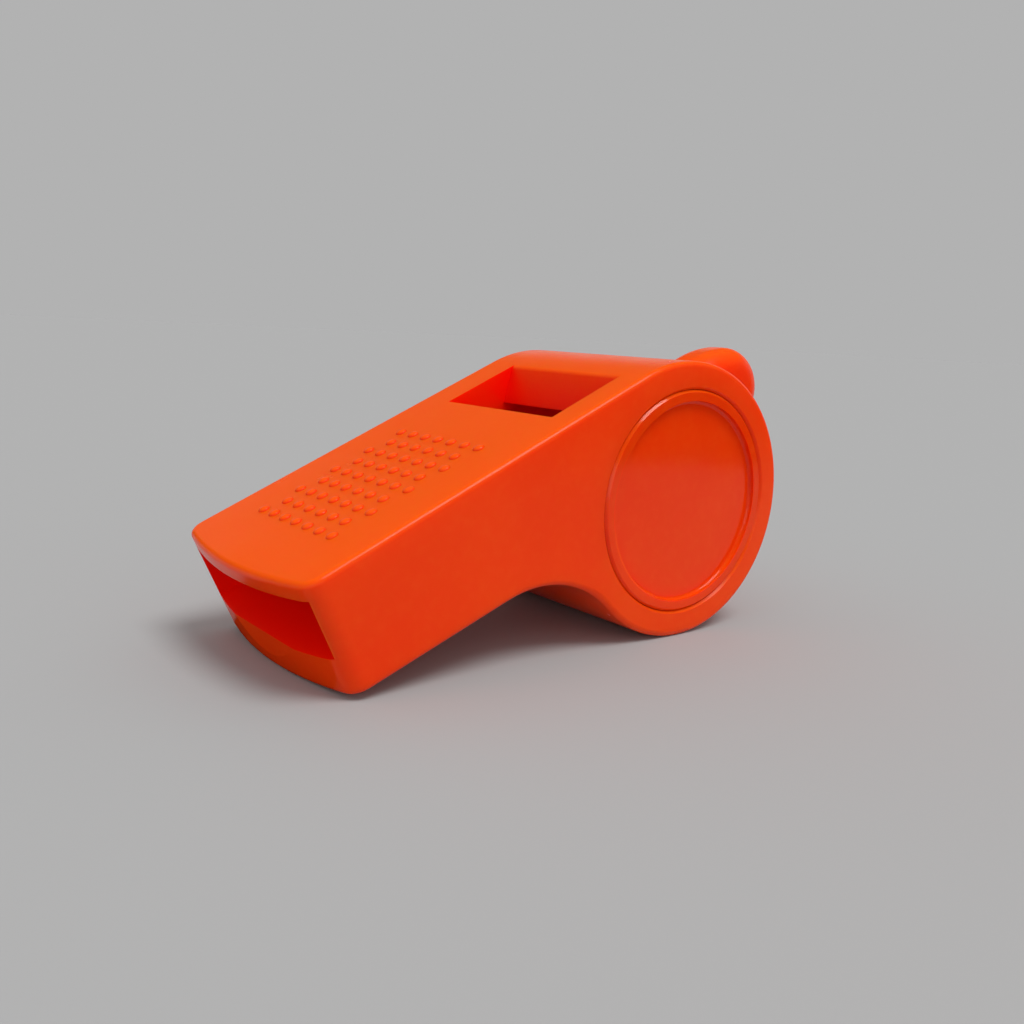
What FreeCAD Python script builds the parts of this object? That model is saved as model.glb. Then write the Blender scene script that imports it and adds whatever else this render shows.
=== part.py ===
import FreeCAD, Part
import math
import os

import Sketcher

# A pea whistle of moulded plastic, lying on its barrel and on the front edge of its mouthpiece.
# Each piece is drawn in the whistle's own axes: the barrel's axis is Y, the mouthpiece points to -X and
# its flat top faces +Z. A placement then tips every piece nose down into the pose in which it rests.

# Driving dimensions, in millimetres and degrees
SIZES = {
    # barrel and mouthpiece, seen from the side
    "barrel_diameter": 24.2,
    "body_width": 21.3,
    "mouth_reach": 35.7,
    "tip_height": 9.35,
    "underside_fall": 3.2,
    "junction_radius": 10.0,
    "crown_rise": 0.35,
    "crown_flare": 1.2,
    # mouthpiece, seen from above
    "front_bow_radius": 45.0,
    "front_corner_radius": 1.6,
    "edge_round": 0.5,
    # windway, from the mouth to the window
    "roof_thickness": 1.35,
    "mouth_height": 4.95,
    "mouth_width": 19.6,
    "mouth_offset": 0.3,
    "mouth_bevel_run": 0.3,
    "mouth_bevel_drop": 1.8,
    "exit_height": 1.7,
    # window and lip
    "window_front": 9.4,
    "window_back": 1.5,
    "window_width": 14.5,
    "window_offset": 0.6,
    "lip_setback": 2.2,
    "lip_depth": 2.75,
    "ramp_round": 0.6,
    # sound chamber, its blind side and the seat of the cap
    "barrel_wall": 2.9,
    "side_wall": 1.9,
    "cap_inset": 2.3,
    "cap_thickness": 1.9,
    "cap_clearance": 0.05,
    "seam_chamfer": 0.2,
    "dish_rim": 1.0,
    "dish_depth": 0.5,
    "dish_round": 0.3,
    # lug at the back of the barrel
    "lug_width": 5.7,
    "lug_radius": 4.2,
    "lug_overhang": 5.1,
    "lug_rise": 2.05,
    "lug_crest_radius": 12.4,
    "lug_root_depth": 2.1,
    "lug_root_height": 5.85,
    "lug_edge_round": 2.2,
    "lug_root_round": 1.8,
    "lanyard_hole_diameter": 2.8,
    "lanyard_hole_overhang": 4.9,
    "lanyard_hole_rise": 1.5,
    "hole_round": 0.2,
    # pea
    "pea_diameter": 9.0,
    "pea_gap": 0.2,
    # how far each cutting shape runs past the surface that it opens
    "overrun": 1.0,
}

doc = FreeCAD.newDocument("TrafficWhistle")
sheet = doc.addObject("Spreadsheet::Sheet", "Sizes")
for row, (alias, number) in enumerate(SIZES.items(), start=1):
    sheet.set(f"A{row}", alias)
    sheet.set(f"B{row}", str(number))
    sheet.setAlias(f"B{row}", alias)
doc.recompute()


def size(alias):
    """The sheet's number under this alias."""
    return float(sheet.get(alias))


def point(x, y):
    """A point in a sketch's plane."""
    return FreeCAD.Vector(x, y, 0)


def plane_of(body, role):
    """The body's own origin plane with this role."""
    for feature in body.Origin.OriginFeatures:
        if feature.Role == role:
            return feature
    raise ValueError(f"{body.Label} has no {role}")


class Drawing:
    """A sketch on one of the body's origin planes, with its sizes bound to the sheet."""

    def __init__(self, body, name, role, offset=None, shift=None):
        self.sketch = body.newObject("Sketcher::SketchObject", name)
        self.sketch.AttachmentSupport = [(plane_of(body, role), "")]
        self.sketch.MapMode = "FlatFace"
        if offset is not None:
            self.sketch.setExpression("AttachmentOffset.Base.z", offset)
        if shift is not None:
            self.sketch.setExpression("AttachmentOffset.Base.x", shift)

    def line(self, start, end):
        return self.sketch.addGeometry(Part.LineSegment(point(*start), point(*end)), False)

    def circle(self, centre, radius, guide=False):
        shape = Part.Circle(point(*centre), FreeCAD.Vector(0, 0, 1), radius)
        return self.sketch.addGeometry(shape, guide)

    def arc(self, centre, radius, start, end):
        """An arc that runs anticlockwise from the start angle to the end angle, in radians."""
        shape = Part.Circle(point(*centre), FreeCAD.Vector(0, 0, 1), radius)
        return self.sketch.addGeometry(Part.ArcOfCircle(shape, start, end), False)

    def rule(self, *words):
        return self.sketch.addConstraint(Sketcher.Constraint(*words))

    def measure(self, expression, *words):
        """A dimension that takes its value from the sheet."""
        index = self.rule(*words)
        self.sketch.setExpression(f"Constraints[{index}]", expression)
        return index

    def at(self, geometry, end, x=None, y=None):
        """Holds an end of a line or arc at a distance from the plane's origin, given as expressions."""
        place = self.place_of(geometry, end)
        if x is not None:
            self.measure(x, "DistanceX", -1, 1, geometry, end, place.x)
        if y is not None:
            self.measure(y, "DistanceY", -1, 1, geometry, end, place.y)

    def place_of(self, geometry, end):
        return self.sketch.getPoint(geometry, end)

    def join(self, first, second):
        """The end of the first runs into the start of the second."""
        self.rule("Coincident", first, 2, second, 1)

    def polygon(self, corners):
        """A closed run of lines through the corners."""
        lines = [self.line(a, b) for a, b in zip(corners, corners[1:] + corners[:1])]
        for first, second in zip(lines, lines[1:] + lines[:1]):
            self.join(first, second)
        return lines


def symmetric(feature, profile, length):
    """Sets a pad or pocket that reaches equally to both sides of its sketch."""
    feature.Profile = profile
    feature.Type = "Length"
    feature.SideType = "Symmetric"
    feature.setExpression("Length", length)
    return feature


def one_sided(feature, profile, length, turned=False):
    feature.Profile = profile
    feature.Type = "Length"
    feature.Reversed = turned
    feature.setExpression("Length", length)
    return feature


def rounded(body, name, chosen, expression, kind="PartDesign::Fillet", key="Radius"):
    """Rounds, or chamfers, the edges of the body's tip that the test chooses."""
    doc.recompute()
    base = body.Tip
    names = [f"Edge{i}" for i, edge in enumerate(base.Shape.Edges, start=1) if chosen(edge)]
    if not names:
        raise ValueError(f"{name}: no edge to round")
    feature = body.newObject(kind, name)
    feature.Base = (base, names)
    feature.setExpression(key, expression)
    return feature


# How far off, in millimetres, a place on an edge may be and still count as there, or as clear of it
SLACK = 0.02
CLEAR = 0.1


def near(first, second, slack=SLACK):
    return abs(first - second) < slack


def middle(edge):
    first, last = edge.ParameterRange
    return edge.valueAt((first + last) / 2)


def runs_along(edge, axis):
    """Whether the edge is straight and runs along this axis (0, 1 or 2)."""
    if edge.Curve.TypeId != "Part::GeomLine":
        return False
    return near(abs(edge.Curve.Direction[axis]), 1.0)


barrel_radius = size("barrel_diameter") / 2
half_width = size("body_width") / 2
chamber_radius = barrel_radius - size("barrel_wall")
cap_radius = barrel_radius - size("cap_inset")
dish_radius = cap_radius - size("dish_rim")
lug_middle = barrel_radius + size("lug_overhang")
lug_root = barrel_radius - size("lug_root_depth")
hole_middle = barrel_radius + size("lanyard_hole_overhang")
top = barrel_radius + size("crown_rise")

# The same places as expressions of the sheet's names
TOP = "(Sizes.barrel_diameter / 2 + Sizes.crown_rise)"
CHAMBER_RADIUS = "(Sizes.barrel_diameter / 2 - Sizes.barrel_wall)"
CAP_RADIUS = "(Sizes.barrel_diameter / 2 - Sizes.cap_inset)"

# Whistle body
whistle = doc.addObject("PartDesign::Body", "whistle_body")
whistle.Label = "whistle_body"


def side_outline():
    """Mouthpiece and barrel in one outline: flat top, round back, and a hollow curve under the mouthpiece.

    The flat top lies a little above the round of the barrel, and a wider arc, the crown, joins the two.
    """
    fall = math.radians(size("underside_fall"))
    radius = size("junction_radius")
    tip_low = (-size("mouth_reach"), top - size("tip_height"))
    # The hollow curve's centre lies a radius under the underside and a radius outside the barrel.
    along = (math.cos(fall), -math.sin(fall))
    down = (-math.sin(fall), -math.cos(fall))
    track = (tip_low[0] + down[0] * radius, tip_low[1] + down[1] * radius)
    reach = barrel_radius + radius
    across = track[0] * along[0] + track[1] * along[1]
    rest = track[0] ** 2 + track[1] ** 2 - reach ** 2
    travel = -across - math.sqrt(across ** 2 - rest)
    hollow = (track[0] + along[0] * travel, track[1] + along[1] * travel)
    turn_in = math.atan2(hollow[1], hollow[0])
    crown_radius = barrel_radius + size("crown_flare")
    crown_drop = crown_radius - top
    crown_start = -math.sqrt(size("crown_flare") ** 2 - crown_drop ** 2)
    crown_end = math.atan2(crown_drop, -crown_start)
    drawing = Drawing(whistle, "side_outline", "XZ_Plane")
    upper = drawing.line((-size("mouth_reach"), top), (crown_start, top))
    crown = drawing.arc((crown_start, -crown_drop), crown_radius, crown_end, math.pi / 2)
    back = drawing.arc((0, 0), barrel_radius, turn_in, crown_end + 2 * math.pi)
    curve = drawing.arc(hollow, radius, turn_in + math.pi, math.pi / 2 - fall)
    under_start = (hollow[0] - down[0] * radius, hollow[1] - down[1] * radius)
    under = drawing.line(under_start, tip_low)
    front = drawing.line(tip_low, (-size("mouth_reach"), top))
    drawing.rule("Tangent", upper, 2, crown, 2)
    drawing.rule("Tangent", crown, 1, back, 2)
    drawing.rule("Tangent", back, 1, curve, 1)
    drawing.rule("Tangent", curve, 2, under, 1)
    drawing.join(under, front)
    drawing.join(front, upper)
    drawing.rule("Horizontal", upper)
    drawing.rule("Vertical", front)
    drawing.rule("Coincident", back, 3, -1, 1)
    drawing.measure("Sizes.barrel_diameter / 2", "Radius", back, barrel_radius)
    drawing.measure("Sizes.barrel_diameter / 2 + Sizes.crown_flare", "Radius", crown, crown_radius)
    drawing.measure("Sizes.junction_radius", "Radius", curve, radius)
    drawing.at(front, 2, x="-Sizes.mouth_reach", y=TOP)
    drawing.measure("Sizes.tip_height", "DistanceY", front, 1, front, 2, size("tip_height"))
    drawing.measure("180 - Sizes.underside_fall", "Angle", under, math.pi - fall)
    return drawing.sketch


symmetric(whistle.newObject("PartDesign::Pad", "moulding"), side_outline(), "Sizes.body_width")


def front_bow():
    """What lies ahead of the mouthpiece's bowed front face, seen from above."""
    radius = size("front_bow_radius")
    side = half_width + size("overrun")
    sag = radius - math.sqrt(radius ** 2 - side ** 2)
    turn = math.asin(side / radius)
    ahead = -size("mouth_reach") - size("overrun")
    drawing = Drawing(whistle, "front_bow", "XY_Plane")
    bow = drawing.arc((radius - size("mouth_reach"), 0), radius, math.pi - turn, math.pi + turn)
    near_side = drawing.line((sag - size("mouth_reach"), -side), (ahead, -side))
    across = drawing.line((ahead, -side), (ahead, side))
    far_side = drawing.line((ahead, side), (sag - size("mouth_reach"), side))
    drawing.join(bow, near_side)
    drawing.join(near_side, across)
    drawing.join(across, far_side)
    drawing.join(far_side, bow)
    drawing.rule("Horizontal", near_side)
    drawing.rule("Vertical", across)
    drawing.rule("Horizontal", far_side)
    drawing.measure("Sizes.front_bow_radius", "Radius", bow, radius)
    drawing.at(bow, 3, x="Sizes.front_bow_radius - Sizes.mouth_reach")
    drawing.rule("PointOnObject", bow, 3, -1)
    drawing.at(across, 1, x="-Sizes.mouth_reach - Sizes.overrun", y="-Sizes.body_width / 2 - Sizes.overrun")
    drawing.at(across, 2, y="Sizes.body_width / 2 + Sizes.overrun")
    return drawing.sketch


symmetric(whistle.newObject("PartDesign::Pocket", "bowed_front"), front_bow(), "2 * Sizes.barrel_diameter")
rounded(whistle, "front_corners",
        lambda edge: runs_along(edge, 2) and near(abs(middle(edge).y), half_width),
        "Sizes.front_corner_radius")
rounded(whistle, "outer_edges",
        lambda edge: not runs_along(edge, 1) and not runs_along(edge, 2)
        and (near(abs(middle(edge).y), half_width) or middle(edge).x < -size("mouth_reach") / 2),
        "Sizes.edge_round")


def circle_centre(first, first_reach, second, second_reach):
    """The lower of the two points that lie at these distances from the two given points."""
    dx = second[0] - first[0]
    dy = second[1] - first[1]
    gap = math.hypot(dx, dy)
    along = (first_reach ** 2 - second_reach ** 2 + gap ** 2) / (2 * gap)
    aside = math.sqrt(first_reach ** 2 - along ** 2)
    foot = (first[0] + dx * along / gap, first[1] + dy * along / gap)
    choices = [(foot[0] + side * aside * dy / gap, foot[1] - side * aside * dx / gap) for side in (1, -1)]
    return min(choices, key=lambda choice: choice[1])


def lug_outline():
    """An eye around the lanyard hole, whose crest curves forward into the back of the barrel."""
    eye = (lug_middle, size("lug_rise"))
    eye_radius = size("lug_radius")
    crest_radius = size("lug_crest_radius")
    root_top = (lug_root, size("lug_root_height"))
    crest = circle_centre(root_top, crest_radius, eye, crest_radius - eye_radius)
    meet = math.atan2(eye[1] - crest[1], eye[0] - crest[0])
    start = math.atan2(root_top[1] - crest[1], root_top[0] - crest[0])
    low = eye[1] - eye_radius
    drawing = Drawing(whistle, "lug_outline", "XZ_Plane")
    top_arc = drawing.arc(crest, crest_radius, meet, start)
    end_arc = drawing.arc(eye, eye_radius, -math.pi / 2, meet)
    under = drawing.line((root_top[0], low), (eye[0], low))
    root = drawing.line(root_top, (root_top[0], low))
    drawing.rule("Tangent", end_arc, 2, top_arc, 1)
    drawing.rule("Tangent", under, 2, end_arc, 1)
    drawing.join(top_arc, root)
    drawing.join(root, under)
    drawing.rule("Vertical", root)
    drawing.rule("Horizontal", under)
    drawing.measure("Sizes.lug_radius", "Radius", end_arc, eye_radius)
    drawing.measure("Sizes.lug_crest_radius", "Radius", top_arc, crest_radius)
    drawing.at(end_arc, 3, x="Sizes.barrel_diameter / 2 + Sizes.lug_overhang", y="Sizes.lug_rise")
    drawing.at(root, 1, x="Sizes.barrel_diameter / 2 - Sizes.lug_root_depth", y="Sizes.lug_root_height")
    return drawing.sketch


def on_lug_side(edge):
    place = middle(edge)
    outside = math.hypot(place.x, place.z) > barrel_radius + CLEAR
    return outside and near(abs(place.y), size("lug_width") / 2) and place.x > 0


def on_lug_root(edge):
    """Whether the edge is part of the line in which the lug meets the round of the barrel."""
    places = [vertex.Point for vertex in edge.Vertexes] + [middle(edge)]
    on_barrel = all(near(math.hypot(place.x, place.z), barrel_radius) for place in places)
    on_lug = all(abs(place.y) < size("lug_width") / 2 + CLEAR for place in places)
    return on_barrel and on_lug and edge.BoundBox.YLength < size("lug_width")


def lanyard_hole():
    drawing = Drawing(whistle, "lanyard_hole_outline", "XZ_Plane")
    hole = drawing.circle((hole_middle, size("lanyard_hole_rise")), size("lanyard_hole_diameter") / 2)
    drawing.measure("Sizes.lanyard_hole_diameter", "Diameter", hole, size("lanyard_hole_diameter"))
    drawing.at(hole, 3, x="Sizes.barrel_diameter / 2 + Sizes.lanyard_hole_overhang",
               y="Sizes.lanyard_hole_rise")
    return drawing.sketch


symmetric(whistle.newObject("PartDesign::Pad", "lug"), lug_outline(), "Sizes.lug_width")
rounded(whistle, "lug_edges", on_lug_side, "Sizes.lug_edge_round")
rounded(whistle, "lug_root_curve", on_lug_root, "Sizes.lug_root_round")
symmetric(whistle.newObject("PartDesign::Pocket", "lanyard_hole"), lanyard_hole(), "2 * Sizes.lug_width")
rounded(whistle, "hole_edges",
        lambda edge: edge.Curve.TypeId == "Part::GeomCircle"
        and near(edge.Curve.Radius, size("lanyard_hole_diameter") / 2),
        "Sizes.hole_round")


def tangent_point(outer, radius, side):
    """Where a line from an outer point touches the circle about the origin, on this side of the point."""
    turn = math.atan2(outer[1], outer[0])
    spread = math.acos(radius / math.hypot(*outer))
    return (radius * math.cos(turn + side * spread), radius * math.sin(turn + side * spread))


def window_outline():
    """The window's opening down into the chamber, with the sloping ramp that ends in the lip."""
    step = (-size("window_front"), top - size("roof_thickness") - size("exit_height"))
    lip = (-size("window_back") - size("lip_setback"), top - size("lip_depth"))
    front_foot = tangent_point(step, chamber_radius, 1)
    back_foot = tangent_point(lip, chamber_radius, -1)
    high = top + size("overrun")
    corners = [(step[0], high), step, front_foot, back_foot, lip, (-size("window_back"), top),
               (-size("window_back"), high)]
    drawing = Drawing(whistle, "window_outline", "XZ_Plane", "Sizes.window_offset")
    front, block, chord, lip_under, ramp, rise, lid = drawing.polygon(corners)
    chamber = drawing.circle((0, 0), chamber_radius, guide=True)
    drawing.rule("Coincident", chamber, 3, -1, 1)
    drawing.measure(CHAMBER_RADIUS, "Radius", chamber, chamber_radius)
    drawing.rule("Vertical", front)
    drawing.rule("Vertical", rise)
    drawing.rule("Horizontal", lid)
    drawing.rule("Tangent", block, 2, chamber)
    drawing.rule("Tangent", lip_under, 1, chamber)
    drawing.at(front, 2, x="-Sizes.window_front",
               y=f"{TOP} - Sizes.roof_thickness - Sizes.exit_height")
    drawing.at(ramp, 1, x="-Sizes.window_back - Sizes.lip_setback",
               y=f"{TOP} - Sizes.lip_depth")
    drawing.at(rise, 1, x="-Sizes.window_back", y=TOP)
    drawing.at(lid, 1, y=f"{TOP} + Sizes.overrun")
    return drawing.sketch


# The windway narrows evenly from the mouth to its slot at the window's front edge. Both of its sections are
# drawn a little outside that stretch, so their sizes follow the same taper that much further.
TAPER_RUN = "(Sizes.mouth_reach - Sizes.window_front)"
HEIGHT_TAPER = f"(Sizes.mouth_height - Sizes.exit_height) / {TAPER_RUN}"
SLOT_WIDTH = "(Sizes.window_width - 2 * (Sizes.window_offset - Sizes.mouth_offset))"
WIDTH_TAPER = f"(Sizes.mouth_width - {SLOT_WIDTH}) / {TAPER_RUN}"


def windway_section(name, offset, past_height, past_width, height, width):
    """A rectangle across the windway, hung from the roof's underside."""
    roof = top - size("roof_thickness")
    corners = [(-width / 2, roof - height), (width / 2, roof - height), (width / 2, roof), (-width / 2, roof)]
    drawing = Drawing(whistle, name, "YZ_Plane", offset, "-Sizes.mouth_offset")
    floor, right, ceiling, left = drawing.polygon(corners)
    drawing.rule("Horizontal", floor)
    drawing.rule("Vertical", right)
    drawing.rule("Symmetric", ceiling, 1, ceiling, 2, -2)
    drawing.rule("Vertical", left)
    drawing.measure(past_width, "DistanceX", floor, 1, floor, 2, width)
    drawing.measure(past_height, "DistanceY", right, 1, right, 2, height)
    drawing.at(ceiling, 1, y=f"{TOP} - Sizes.roof_thickness")
    return drawing.sketch


def windway():
    run = size("mouth_reach") - size("window_front")
    over = size("overrun")
    height_step = over * (size("mouth_height") - size("exit_height")) / run
    slot_width = size("window_width") - 2 * (size("window_offset") - size("mouth_offset"))
    width_step = over * (size("mouth_width") - slot_width) / run
    mouth = windway_section(
        "windway_mouth", "-Sizes.mouth_reach - Sizes.overrun",
        f"Sizes.mouth_height + Sizes.overrun * {HEIGHT_TAPER}",
        f"Sizes.mouth_width + Sizes.overrun * {WIDTH_TAPER}",
        size("mouth_height") + height_step, size("mouth_width") + width_step)
    slot = windway_section(
        "windway_slot", "-Sizes.window_front + Sizes.overrun",
        f"Sizes.exit_height - Sizes.overrun * {HEIGHT_TAPER}",
        f"{SLOT_WIDTH} - Sizes.overrun * {WIDTH_TAPER}",
        size("exit_height") - height_step, slot_width - width_step)
    loft = whistle.newObject("PartDesign::SubtractiveLoft", "windway")
    loft.Profile = mouth
    loft.Sections = [slot]
    loft.Ruled = True
    return loft


symmetric(whistle.newObject("PartDesign::Pocket", "window"), window_outline(), "Sizes.window_width")
rounded(whistle, "ramp_top",
        lambda edge: runs_along(edge, 1)
        and near(middle(edge).x, -size("window_back")) and near(middle(edge).z, top),
        "Sizes.ramp_round")
windway()


def mouth_bevel_outline():
    """What the straight bevel takes off the bowed lip below the mouth.

    The bevel's slope runs on into the windway, as far above its floor as it goes down below it.
    """
    front = -size("mouth_reach")
    ahead = front - size("overrun")
    floor = top - size("roof_thickness") - size("mouth_height")
    high = floor + size("mouth_bevel_drop")
    low = floor - size("mouth_bevel_drop")
    corners = [(front + 2 * size("mouth_bevel_run"), high), (ahead, high), (ahead, low), (front, low)]
    drawing = Drawing(whistle, "mouth_bevel_outline", "XZ_Plane", "Sizes.mouth_offset")
    over, across, under, slope = drawing.polygon(corners)
    drawing.rule("Horizontal", over)
    drawing.rule("Vertical", across)
    drawing.rule("Horizontal", under)
    drawing.at(over, 1, x="-Sizes.mouth_reach + 2 * Sizes.mouth_bevel_run",
               y=f"{TOP} - Sizes.roof_thickness - Sizes.mouth_height + Sizes.mouth_bevel_drop")
    drawing.at(across, 1, x="-Sizes.mouth_reach - Sizes.overrun")
    drawing.at(slope, 1, x="-Sizes.mouth_reach",
               y=f"{TOP} - Sizes.roof_thickness - Sizes.mouth_height - Sizes.mouth_bevel_drop")
    return drawing.sketch


symmetric(whistle.newObject("PartDesign::Pocket", "mouth_bevel"), mouth_bevel_outline(), "Sizes.mouth_width")


def side_circle(name, offset, expression, radius):
    """A circle about the barrel's axis, on one of the barrel's sides."""
    drawing = Drawing(whistle, name, "XZ_Plane", offset)
    circle = drawing.circle((0, 0), radius)
    drawing.rule("Coincident", circle, 3, -1, 1)
    drawing.measure(expression, "Radius", circle, radius)
    return drawing.sketch


CAPPED_SIDE = "Sizes.body_width / 2"
BLIND_SIDE = "-Sizes.body_width / 2"
one_sided(whistle.newObject("PartDesign::Pocket", "chamber"),
          side_circle("chamber_circle", CAPPED_SIDE, CHAMBER_RADIUS, chamber_radius),
          "Sizes.body_width - Sizes.side_wall")
one_sided(whistle.newObject("PartDesign::Pocket", "cap_seat"),
          side_circle("cap_seat_circle", CAPPED_SIDE, CAP_RADIUS, cap_radius),
          "Sizes.cap_thickness")
one_sided(whistle.newObject("PartDesign::Pocket", "blind_dish"),
          side_circle("blind_dish_circle", BLIND_SIDE, f"{CAP_RADIUS} - Sizes.dish_rim", dish_radius),
          "Sizes.dish_depth", turned=True)


def circle_edge(edge, radius, y):
    round_edge = edge.Curve.TypeId == "Part::GeomCircle"
    return round_edge and near(edge.Curve.Radius, radius) and near(edge.Curve.Center.y, y)


rounded(whistle, "seat_mouth",
        lambda edge: circle_edge(edge, cap_radius, -half_width),
        "Sizes.seam_chamfer", kind="PartDesign::Chamfer", key="Size")
rounded(whistle, "blind_dish_corner",
        lambda edge: circle_edge(edge, dish_radius, half_width - size("dish_depth")),
        "Sizes.dish_round")

# Side cap: a disc that sits on the ledge around the chamber, with a shallow dish in its outer face
cap = doc.addObject("PartDesign::Body", "side_cap")
cap.Label = "side_cap"


def cap_section():
    """Half of the disc's section: the sketch's X is the radius, and its Y runs through the barrel's side."""
    edge = cap_radius - size("cap_clearance")
    outer = -half_width
    inner = outer + size("cap_thickness")
    floor = outer + size("dish_depth")
    chamfer = size("seam_chamfer")
    corners = [(0, floor), (dish_radius, floor), (dish_radius, outer), (edge - chamfer, outer),
               (edge, outer + chamfer), (edge, inner), (0, inner)]
    drawing = Drawing(cap, "cap_section", "XY_Plane")
    dish, wall, rim, bevel, side, back, axis = drawing.polygon(corners)
    for flat in (dish, rim, back):
        drawing.rule("Horizontal", flat)
    for upright in (wall, side, axis):
        drawing.rule("Vertical", upright)
    cap_edge = f"{CAP_RADIUS} - Sizes.cap_clearance"
    face = "-Sizes.body_width / 2"
    drawing.rule("PointOnObject", axis, 1, -2)
    drawing.at(wall, 1, x=f"{CAP_RADIUS} - Sizes.dish_rim", y=f"{face} + Sizes.dish_depth")
    drawing.at(bevel, 1, x=f"{cap_edge} - Sizes.seam_chamfer", y=face)
    drawing.at(side, 1, x=cap_edge, y=f"{face} + Sizes.seam_chamfer")
    drawing.at(back, 1, y=f"{face} + Sizes.cap_thickness")
    return drawing.sketch


disc = cap.newObject("PartDesign::Revolution", "disc")
disc.Profile = cap_section()
disc.ReferenceAxis = (plane_of(cap, "Y_Axis"), [""])
disc.Angle = 360
rounded(cap, "dish_corner",
        lambda edge: circle_edge(edge, dish_radius, -half_width + size("dish_depth")),
        "Sizes.dish_round")

# Pea: a loose ball that lies at the bottom of the chamber
pea = doc.addObject("Part::Sphere", "pea")
pea.Label = "pea"
pea.setExpression("Radius", "Sizes.pea_diameter / 2")
doc.recompute()


def resting_pitch():
    """The angle at which the barrel and the rounded edge under the mouth both touch one level surface."""
    edge = size("edge_round")
    fall = math.radians(size("underside_fall"))
    centre_x = size("mouth_reach") - edge
    centre_z = top - size("tip_height") + edge * (1 / math.cos(fall) - math.tan(fall))
    slope = math.atan2(centre_z, centre_x)
    return math.degrees(slope + math.asin((barrel_radius - edge) / math.hypot(centre_x, centre_z)))


pitch = resting_pitch()
turn = FreeCAD.Rotation(FreeCAD.Vector(0, 1, 0), -pitch)
for piece in (whistle, cap):
    piece.Placement = FreeCAD.Placement(FreeCAD.Vector(0, 0, barrel_radius), turn)
doc.recompute()
box = whistle.Shape.optimalBoundingBox(False, False)
middle_x = (box.XMin + box.XMax) / 2
for piece in (whistle, cap):
    piece.Placement.Base = FreeCAD.Vector(-middle_x, 0, barrel_radius)
chamber_middle = (size("cap_thickness") - size("side_wall")) / 2
pea_height = barrel_radius - chamber_radius + size("pea_diameter") / 2 + size("pea_gap")
pea.Placement.Base = FreeCAD.Vector(-middle_x, chamber_middle, pea_height)
doc.recompute()

for thing in doc.Objects:
    if "Invalid" in thing.State or "Error" in thing.State:
        raise RuntimeError(f"{thing.Label} failed: {thing.State}")

os.makedirs("parts", exist_ok=True)
for piece in (whistle, cap, pea):
    if piece.Shape.isNull() or not piece.Shape.isValid():
        raise RuntimeError(f"{piece.Label} has no valid shape")
    piece.Shape.exportStep(f"parts/{piece.Label}.step")
    print(piece.Label, round(piece.Shape.Volume, 1), piece.Shape.optimalBoundingBox(False, False))
print("pitch", round(pitch, 3), "shift", round(middle_x, 3))
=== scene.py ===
"""The whistle in the photograph's light: glossy orange plastic on a plain grey floor."""
import math

import bmesh
import bpy
from mathutils import Matrix, Vector


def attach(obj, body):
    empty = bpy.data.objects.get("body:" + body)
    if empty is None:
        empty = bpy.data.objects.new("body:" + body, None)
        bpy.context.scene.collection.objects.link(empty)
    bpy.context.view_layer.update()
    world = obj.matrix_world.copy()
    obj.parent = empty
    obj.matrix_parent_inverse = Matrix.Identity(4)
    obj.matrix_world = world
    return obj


MM = 0.001

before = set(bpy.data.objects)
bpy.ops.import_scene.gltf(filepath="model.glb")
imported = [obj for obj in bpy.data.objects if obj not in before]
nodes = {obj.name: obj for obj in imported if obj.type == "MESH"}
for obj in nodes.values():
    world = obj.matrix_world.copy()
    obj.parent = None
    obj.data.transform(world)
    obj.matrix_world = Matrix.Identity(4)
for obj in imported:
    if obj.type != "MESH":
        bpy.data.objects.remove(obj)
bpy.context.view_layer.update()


def add_object(name, data):
    made = bpy.data.objects.new(name, data)
    bpy.context.scene.collection.objects.link(made)
    return made


def add_mesh(name, mesh, material):
    """An object of this bmesh, which is freed."""
    data = bpy.data.meshes.new(name)
    mesh.to_mesh(data)
    mesh.free()
    data.materials.append(material)
    return add_object(name, data)


# Camera, at the photograph's viewing angle, with its places in millimetres
CAMERA_PLACE = Vector((-56.70, -68.854, 26.088)) * MM
CAMERA_AIM = Vector((-1.411, 0.519, 10.077)) * MM
CAMERA_ROLL = math.radians(2.88)
CAMERA_RANGE = (5 * MM, 20.0)
SENSOR = 36.0
LENS = 35.38


def add_camera():
    data = bpy.data.cameras.new("camera")
    data.sensor_width = SENSOR
    data.lens = LENS
    data.clip_start, data.clip_end = CAMERA_RANGE
    camera = add_object("camera", data)
    look = (CAMERA_AIM - CAMERA_PLACE).to_track_quat("-Z", "Y").to_matrix().to_4x4()
    camera.matrix_world = Matrix.Translation(CAMERA_PLACE) @ look @ Matrix.Rotation(CAMERA_ROLL, 4, "Z")
    bpy.context.scene.camera = camera


add_camera()


# Colours and nodes
def grey(level):
    return (level, level, level, 1.0)


def screen(red, green, blue):
    """A colour given as it looks on the screen, 0 to 255, in the renderer's own numbers."""
    def convert(value):
        value = value / 255
        return value / 12.92 if value <= 0.04045 else ((value + 0.055) / 1.055) ** 2.4
    return (convert(red), convert(green), convert(blue), 1.0)


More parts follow.
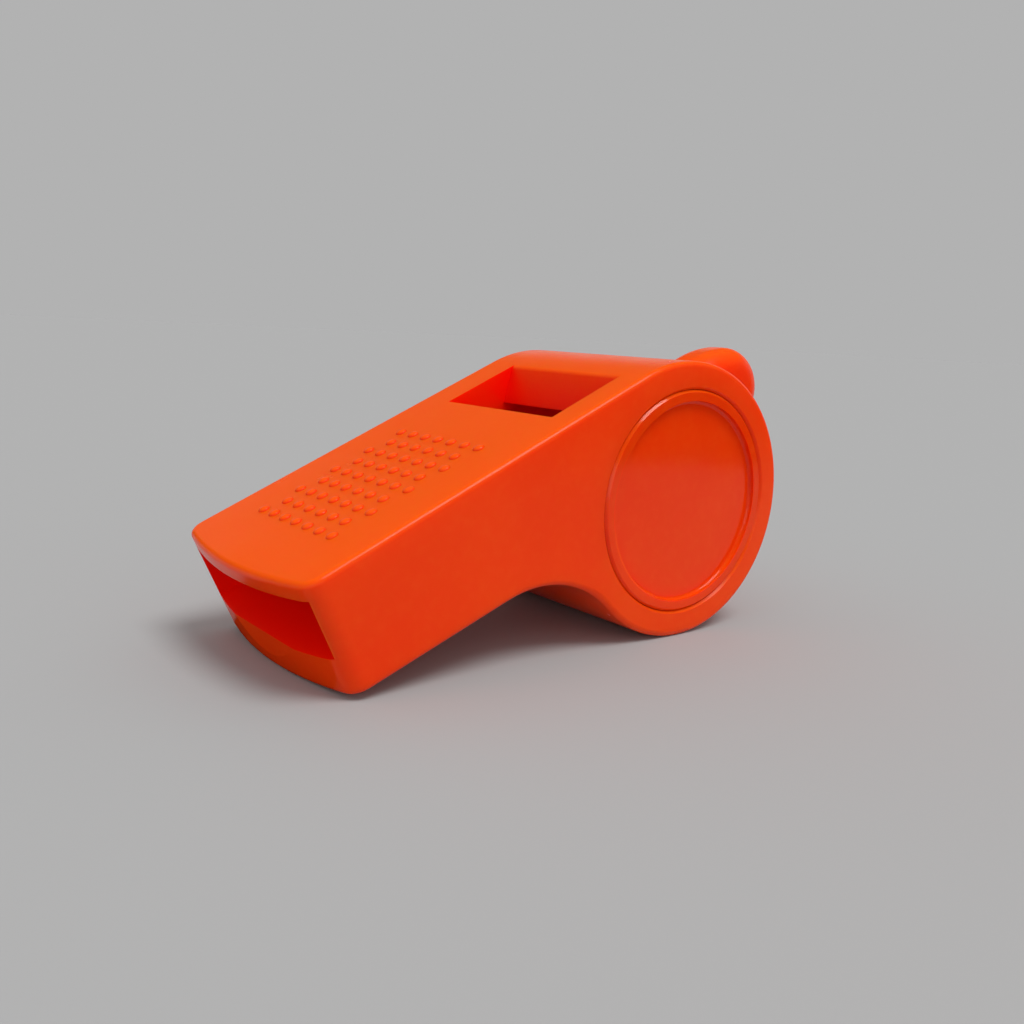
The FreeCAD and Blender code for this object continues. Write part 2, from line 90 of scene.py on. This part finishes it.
class Nodes:
    """The node tree of a material or world, with short ways to add a node and to link it."""

    def __init__(self, owner, output):
        owner.use_nodes = True
        self.owner = owner
        self.tree = owner.node_tree
        self.tree.nodes.clear()
        self.output = self.tree.nodes.new(output)

    def add(self, kind, inputs=None, **settings):
        node = self.tree.nodes.new(kind)
        for key, value in settings.items():
            setattr(node, key, value)
        for key, value in (inputs or {}).items():
            if isinstance(value, bpy.types.NodeSocket):
                self.tree.links.new(value, node.inputs[key])
            else:
                node.inputs[key].default_value = value
        return node

    def surface(self, shader):
        """Gives the owner this shader, and returns the owner."""
        self.tree.links.new(shader.outputs[0], self.output.inputs["Surface"])
        return self.owner

    def place(self):
        """The surface's own coordinates, in millimetres."""
        coordinates = self.add("ShaderNodeTexCoord").outputs["Object"]
        scale = (1 / MM, 1 / MM, 1 / MM)
        return self.add("ShaderNodeMapping", {"Vector": coordinates, "Scale": scale}).outputs["Vector"]

    def noise(self, place, size_mm, detail=2.0, rough=0.5):
        """Noise whose lumps are about this many millimetres wide."""
        inputs = {"Vector": place, "Scale": 1 / size_mm, "Detail": detail, "Roughness": rough}
        return self.add("ShaderNodeTexNoise", inputs).outputs["Fac"]

    def ramp(self, value, start, end):
        """A colour or grey that runs along a value. Each end is a position and what is there."""
        node = self.add("ShaderNodeValToRGB", {"Fac": value})
        for stop, (position, colour) in zip(node.color_ramp.elements, (start, end)):
            stop.position = position
            stop.color = colour
        return node.outputs["Color"]

    def mix(self, factor, first, second):
        """The first colour where the factor is 0, and the second where it is 1."""
        return self.add("ShaderNodeMix", {0: factor, 6: first, 7: second}, data_type="RGBA").outputs[2]

    def calculate(self, operation, first, second):
        return self.add("ShaderNodeMath", {0: first, 1: second}, operation=operation).outputs[0]

    def likeness(self, first, second):
        """1 where two directions are the same, 0 where they are at right angles."""
        node = self.add("ShaderNodeVectorMath", {0: first, 1: second}, operation="DOT_PRODUCT")
        return node.outputs["Value"]

    def bump(self, height, depth_mm, below=None):
        """Relief this deep, on top of the relief below it."""
        inputs = {"Height": height, "Strength": 1.0, "Distance": depth_mm * MM}
        if below is not None:
            inputs["Normal"] = below
        return self.add("ShaderNodeBump", inputs).outputs["Normal"]

    def edges(self, reach_mm):
        """1 at a sharp edge, falling to 0 this many millimetres away from it."""
        soft = self.add("ShaderNodeBevel", {"Radius": reach_mm * MM}, samples=6).outputs["Normal"]
        plain = self.add("ShaderNodeNewGeometry").outputs["Normal"]
        return self.ramp(self.likeness(soft, plain), (0.75, grey(1.0)), (0.99, grey(0.0)))

    def facing(self, way):
        """How far the surface faces this way: 1 straight at it, 0 at right angles."""
        return self.likeness(self.add("ShaderNodeTexCoord").outputs["Normal"], way)

    def openness(self, reach_mm):
        """1 on an open face, and less the more the piece's own walls stand round it within this reach."""
        inputs = {"Distance": reach_mm * MM}
        return self.add("ShaderNodeAmbientOcclusion", inputs, samples=8, only_local=True).outputs["AO"]


def new_material(name):
    return Nodes(bpy.data.materials.new(name), "ShaderNodeOutputMaterial")


# How far the whistle's own axes are tipped, and the way its flat top faces
PITCH = math.radians(24.935)
TOP_FACES = (-math.sin(PITCH), 0.0, math.cos(PITCH))

# Plastic, with its sizes in millimetres
BODY_TONES = (screen(241, 58, 4), screen(247, 70, 7))
CAP_TONES = (screen(235, 53, 2), screen(241, 64, 4))
# The lighter tone painted on up-turned faces, as painted light from above
TOP_LIGHT_TONE = screen(252, 87, 6)
FLECK_TONE = screen(250, 104, 36)
EDGE_TONE = screen(255, 42, 0)
# The deeper red painted into hollows, as a painted glow of light through the plastic
HOLLOW_GLOW_TONE = screen(255, 14, 0)
CLOUD_SIZE = 16.0
FLECK_SIZE = 0.8
FLECK_SHARE = 0.08
EDGE_REACH = 0.3
EDGE_SHARE = 0.8
HOLLOW_REACH = 12.0
HANDLING_SIZE = 3.5
SINK_SIZE = 8.0
SINK_DEPTH = 0.05
SKIN_SIZE = 0.5
SKIN_DEPTH = 0.002
PLASTIC_IOR = 1.49
# How far light spreads inside the plastic, and the share of that for red, green and blue
LIGHT_REACH = 2.0
LIGHT_SHARES = (1.0, 0.3, 0.1)


def orange_plastic(name, tones=BODY_TONES, glow=0.5, hollow_glow=1.0, rough=(0.2, 0.28), gloss=0.15):
    """The moulded plastic.

    glow is the share of the light that passes through it, and hollow_glow says how strongly its hollows are
    painted a deeper red, as a painted glow.
    """
    n = new_material(name)
    place = n.place()
    clouds = n.noise(place, CLOUD_SIZE, detail=3.0)
    flecks = n.noise(place, FLECK_SIZE)
    colour = n.ramp(clouds, (0.3, tones[0]), (0.7, tones[1]))
    # Painted light: faces turned up toward the top are painted a lighter orange, as where the light from
    # above falls on them.
    painted_top_light = n.ramp(n.facing(TOP_FACES), (0.2, grey(0.0)), (0.9, grey(1.0)))
    colour = n.mix(painted_top_light, colour, TOP_LIGHT_TONE)
    colour = n.mix(n.ramp(flecks, (0.45, grey(0.0)), (0.8, grey(FLECK_SHARE))), colour, FLECK_TONE)
    # Sharp edges would turn olive, as their red light escapes through both faces, so they are redder.
    open_air = n.openness(HOLLOW_REACH)
    sharp = n.calculate("MULTIPLY", n.edges(EDGE_REACH), open_air)
    colour = n.mix(n.ramp(sharp, (0.0, grey(0.0)), (1.0, grey(EDGE_SHARE))), colour, EDGE_TONE)
    # Painted glow: the plastic lets red light through, so its hollows are painted a deeper red than its
    # outside, to stand in for that light.
    painted_hollow_glow = n.ramp(open_air, (0.7, grey(hollow_glow)), (0.96, grey(0.0)))
    colour = n.mix(painted_hollow_glow, colour, HOLLOW_GLOW_TONE)
    handling = n.noise(place, HANDLING_SIZE, detail=4.0, rough=0.6)
    roughness = n.ramp(handling, (0.3, grey(rough[0])), (0.75, grey(rough[1])))
    sink = n.bump(n.noise(place, SINK_SIZE, detail=1.0), SINK_DEPTH)
    skin = n.bump(n.noise(place, SKIN_SIZE), SKIN_DEPTH, below=sink)
    return n.surface(n.add("ShaderNodeBsdfPrincipled", {
        "Base Color": colour,
        "Roughness": roughness,
        "Normal": skin,
        "IOR": PLASTIC_IOR,
        "Specular IOR Level": gloss,
        "Subsurface Weight": glow,
        "Subsurface Radius": LIGHT_SHARES,
        "Subsurface Scale": LIGHT_REACH * MM,
    }))


# Cork, with its sizes in millimetres
CORK_TONES = (screen(132, 88, 50), screen(196, 152, 104))
PORE_TONE = screen(74, 44, 24)
PORE_SHARE = 0.8
PORE_SIZE = 1.1
PORE_DEPTH = 0.12
GRAIN_SIZE = 0.7
GRAIN_DEPTH = 0.08
CORK_ROUGH = 0.85


def cork():
    n = new_material("cork")
    place = n.place()
    grain = n.noise(place, GRAIN_SIZE, detail=6.0, rough=0.65)
    pores = n.add("ShaderNodeTexVoronoi", {"Vector": place, "Scale": 1 / PORE_SIZE}).outputs["Distance"]
    colour = n.ramp(grain, (0.3, CORK_TONES[0]), (0.7, CORK_TONES[1]))
    colour = n.mix(n.ramp(pores, (0.02, grey(PORE_SHARE)), (0.16, grey(0.0))), colour, PORE_TONE)
    relief = n.bump(n.ramp(pores, (0.02, grey(0.0)), (0.2, grey(1.0))), PORE_DEPTH)
    relief = n.bump(grain, GRAIN_DEPTH, below=relief)
    return n.surface(n.add("ShaderNodeBsdfPrincipled", {
        "Base Color": colour,
        "Roughness": CORK_ROUGH,
        "Normal": relief,
    }))


def dress(node, material):
    for slot in nodes[node].material_slots:
        slot.material = material


# The cap is the same plastic, a little deeper and with a smoother face.
dress("whistle_body", orange_plastic("orange_plastic"))
dress("side_cap", orange_plastic("orange_plastic_cap", CAP_TONES, hollow_glow=0.3, rough=(0.1, 0.14), gloss=0.24))
dress("pea", cork())

# Low grip pips on the mouthpiece's flat top, with their sizes in millimetres.
# The places run along the top from the barrel's axis, across it, and up from the top.
BARREL_AXIS = Vector((9.262, 0.0, 12.1))
TOP_HEIGHT = 12.45
PIP_RADIUS = 0.48
PIP_HEIGHT = 0.24
PIP_SINK = 0.05
PIP_STEP_ALONG = 1.75
PIP_STEP_ACROSS = 1.9
PIP_ROWS = 7
PIP_RINGS = 5
PIP_SIDES = 20
FIELD_FRONT = -29.5
FIELD_BACK = -14.0


def on_top(along, across, up):
    """A point over the mouthpiece's flat top, in the frame's metres."""
    height = TOP_HEIGHT + up
    turned = Vector((along * math.cos(PITCH) - height * math.sin(PITCH), across,
                     along * math.sin(PITCH) + height * math.cos(PITCH)))
    return (BARREL_AXIS + turned) * MM


def add_pip(mesh, along, across):
    """One low dome, closed below the top's surface."""
    tilts = [math.pi / 2 * ring / PIP_RINGS for ring in range(PIP_RINGS)]
    levels = [(PIP_RADIUS, -PIP_SINK)]
    levels += [(PIP_RADIUS * math.cos(tilt), PIP_HEIGHT * math.sin(tilt)) for tilt in tilts]
    turns = [2 * math.pi * side / PIP_SIDES for side in range(PIP_SIDES)]
    rings = [[mesh.verts.new(on_top(along + radius * math.cos(turn), across + radius * math.sin(turn), up))
              for turn in turns]
             for radius, up in levels]
    crown = mesh.verts.new(on_top(along, across, PIP_HEIGHT))
    for side in range(PIP_SIDES):
        after = (side + 1) % PIP_SIDES
        for low, high in zip(rings, rings[1:]):
            mesh.faces.new((low[side], low[after], high[after], high[side]))
        mesh.faces.new((rings[-1][side], rings[-1][after], crown))
    mesh.faces.new(reversed(rings[0]))


def add_pips():
    mesh = bmesh.new()
    columns = int((FIELD_BACK - FIELD_FRONT) / PIP_STEP_ALONG) + 1
    for column in range(columns):
        along = FIELD_FRONT + column * PIP_STEP_ALONG
        rows = PIP_ROWS - column % 2
        for row in range(rows):
            add_pip(mesh, along, (row - (rows - 1) / 2) * PIP_STEP_ACROSS)
    for face in mesh.faces:
        face.smooth = True
    # The body under the pips has the glow, so they have none of their own.
    piece = add_mesh("grip_pips", mesh, orange_plastic("orange_plastic_pips", glow=0.0))
    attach(piece, "root")


add_pips()

# Background, floor and light. Overhead, the background dims to a ceiling at this share of its level,
# between two heights of the direction, where 0 is level and 1 straight up.
BACKGROUND = screen(178, 178, 178)
CEILING = 0.12
CEILING_FROM = (0.31, 0.42)
WORLD_LIGHT = 0.6
FLOOR_TONE = grey(0.4)
FLOOR_REACH = 3.0
# Distant lamps: the way to the lamp, its strength, and the degrees that soften its shadows
SUNS = {
    "key": ((0.11, -0.42, 0.9), 1.72, 28),
    "side": ((0.1, -0.95, 0.12), 0.16, 40),
    "front": ((-0.75, -0.65, 0.1), 0.37, 40),
}
# Dark cards that only the gloss shows, as in a studio, by their corners in millimetres
FLAG_TONE = grey(0.01)
FLAGS = {
    "flag_near": ((-15, -105, 4.5), (130, -45, 4.5), (130, -45, 60), (-15, -105, 60)),
    "flag_far": ((-140, 75, 15), (-30, 158, 15), (-30, 158, 110), (-140, 75, 110)),
    "flag_low": ((-60, -8, 0.1), (-20, -8, 0.1), (-20, 11, 0.1), (-60, 11, 0.1)),
}


def matt_material(name, tone):
    n = new_material(name)
    return n.surface(n.add("ShaderNodeBsdfDiffuse", {"Color": tone}))


def add_floor():
    mesh = bmesh.new()
    bmesh.ops.create_grid(mesh, x_segments=1, y_segments=1, size=FLOOR_REACH)
    add_mesh("floor", mesh, matt_material("floor", FLOOR_TONE))


def add_flag(name, corners):
    mesh = bmesh.new()
    mesh.faces.new([mesh.verts.new(Vector(corner) * MM) for corner in corners])
    flag = add_mesh(name, mesh, matt_material(name, FLAG_TONE))
    for sight in ("visible_camera", "visible_diffuse", "visible_transmission", "visible_shadow"):
        setattr(flag, sight, False)


def add_sun(name, towards, strength, spread):
    data = bpy.data.lights.new(name, "SUN")
    data.energy = strength
    data.angle = math.radians(spread)
    lamp = add_object(name, data)
    lamp.matrix_world = Vector(towards).to_track_quat("Z", "Y").to_matrix().to_4x4()


def add_world():
    """Even light all round.

    The camera, gloss and glass see the background's grey instead, with a dim ceiling above it.
    """
    world = bpy.data.worlds.new("studio")
    bpy.context.scene.world = world
    n = Nodes(world, "ShaderNodeOutputWorld")
    rays = n.add("ShaderNodeLightPath").outputs
    seen = rays["Is Camera Ray"]
    for kind in ("Is Glossy Ray", "Is Transmission Ray"):
        seen = n.calculate("MAXIMUM", seen, rays[kind])
    light = n.add("ShaderNodeBackground", {"Color": grey(1.0), "Strength": WORLD_LIGHT})
    way = n.add("ShaderNodeTexCoord").outputs["Generated"]
    height = n.add("ShaderNodeSeparateXYZ", {0: way}).outputs["Z"]
    level = n.add("ShaderNodeMapRange", {
        "Value": height,
        "From Min": CEILING_FROM[0],
        "From Max": CEILING_FROM[1],
        "To Min": 1.0,
        "To Max": CEILING,
    }).outputs["Result"]
    backdrop = n.add("ShaderNodeBackground", {"Color": BACKGROUND, "Strength": level})
    n.surface(n.add("ShaderNodeMixShader", {0: seen, 1: light.outputs[0], 2: backdrop.outputs[0]}))


add_floor()
for name, corners in FLAGS.items():
    add_flag(name, corners)
for name, (towards, strength, spread) in SUNS.items():
    add_sun(name, towards, strength, spread)
add_world()

bpy.context.scene.view_settings.view_transform = "Standard"
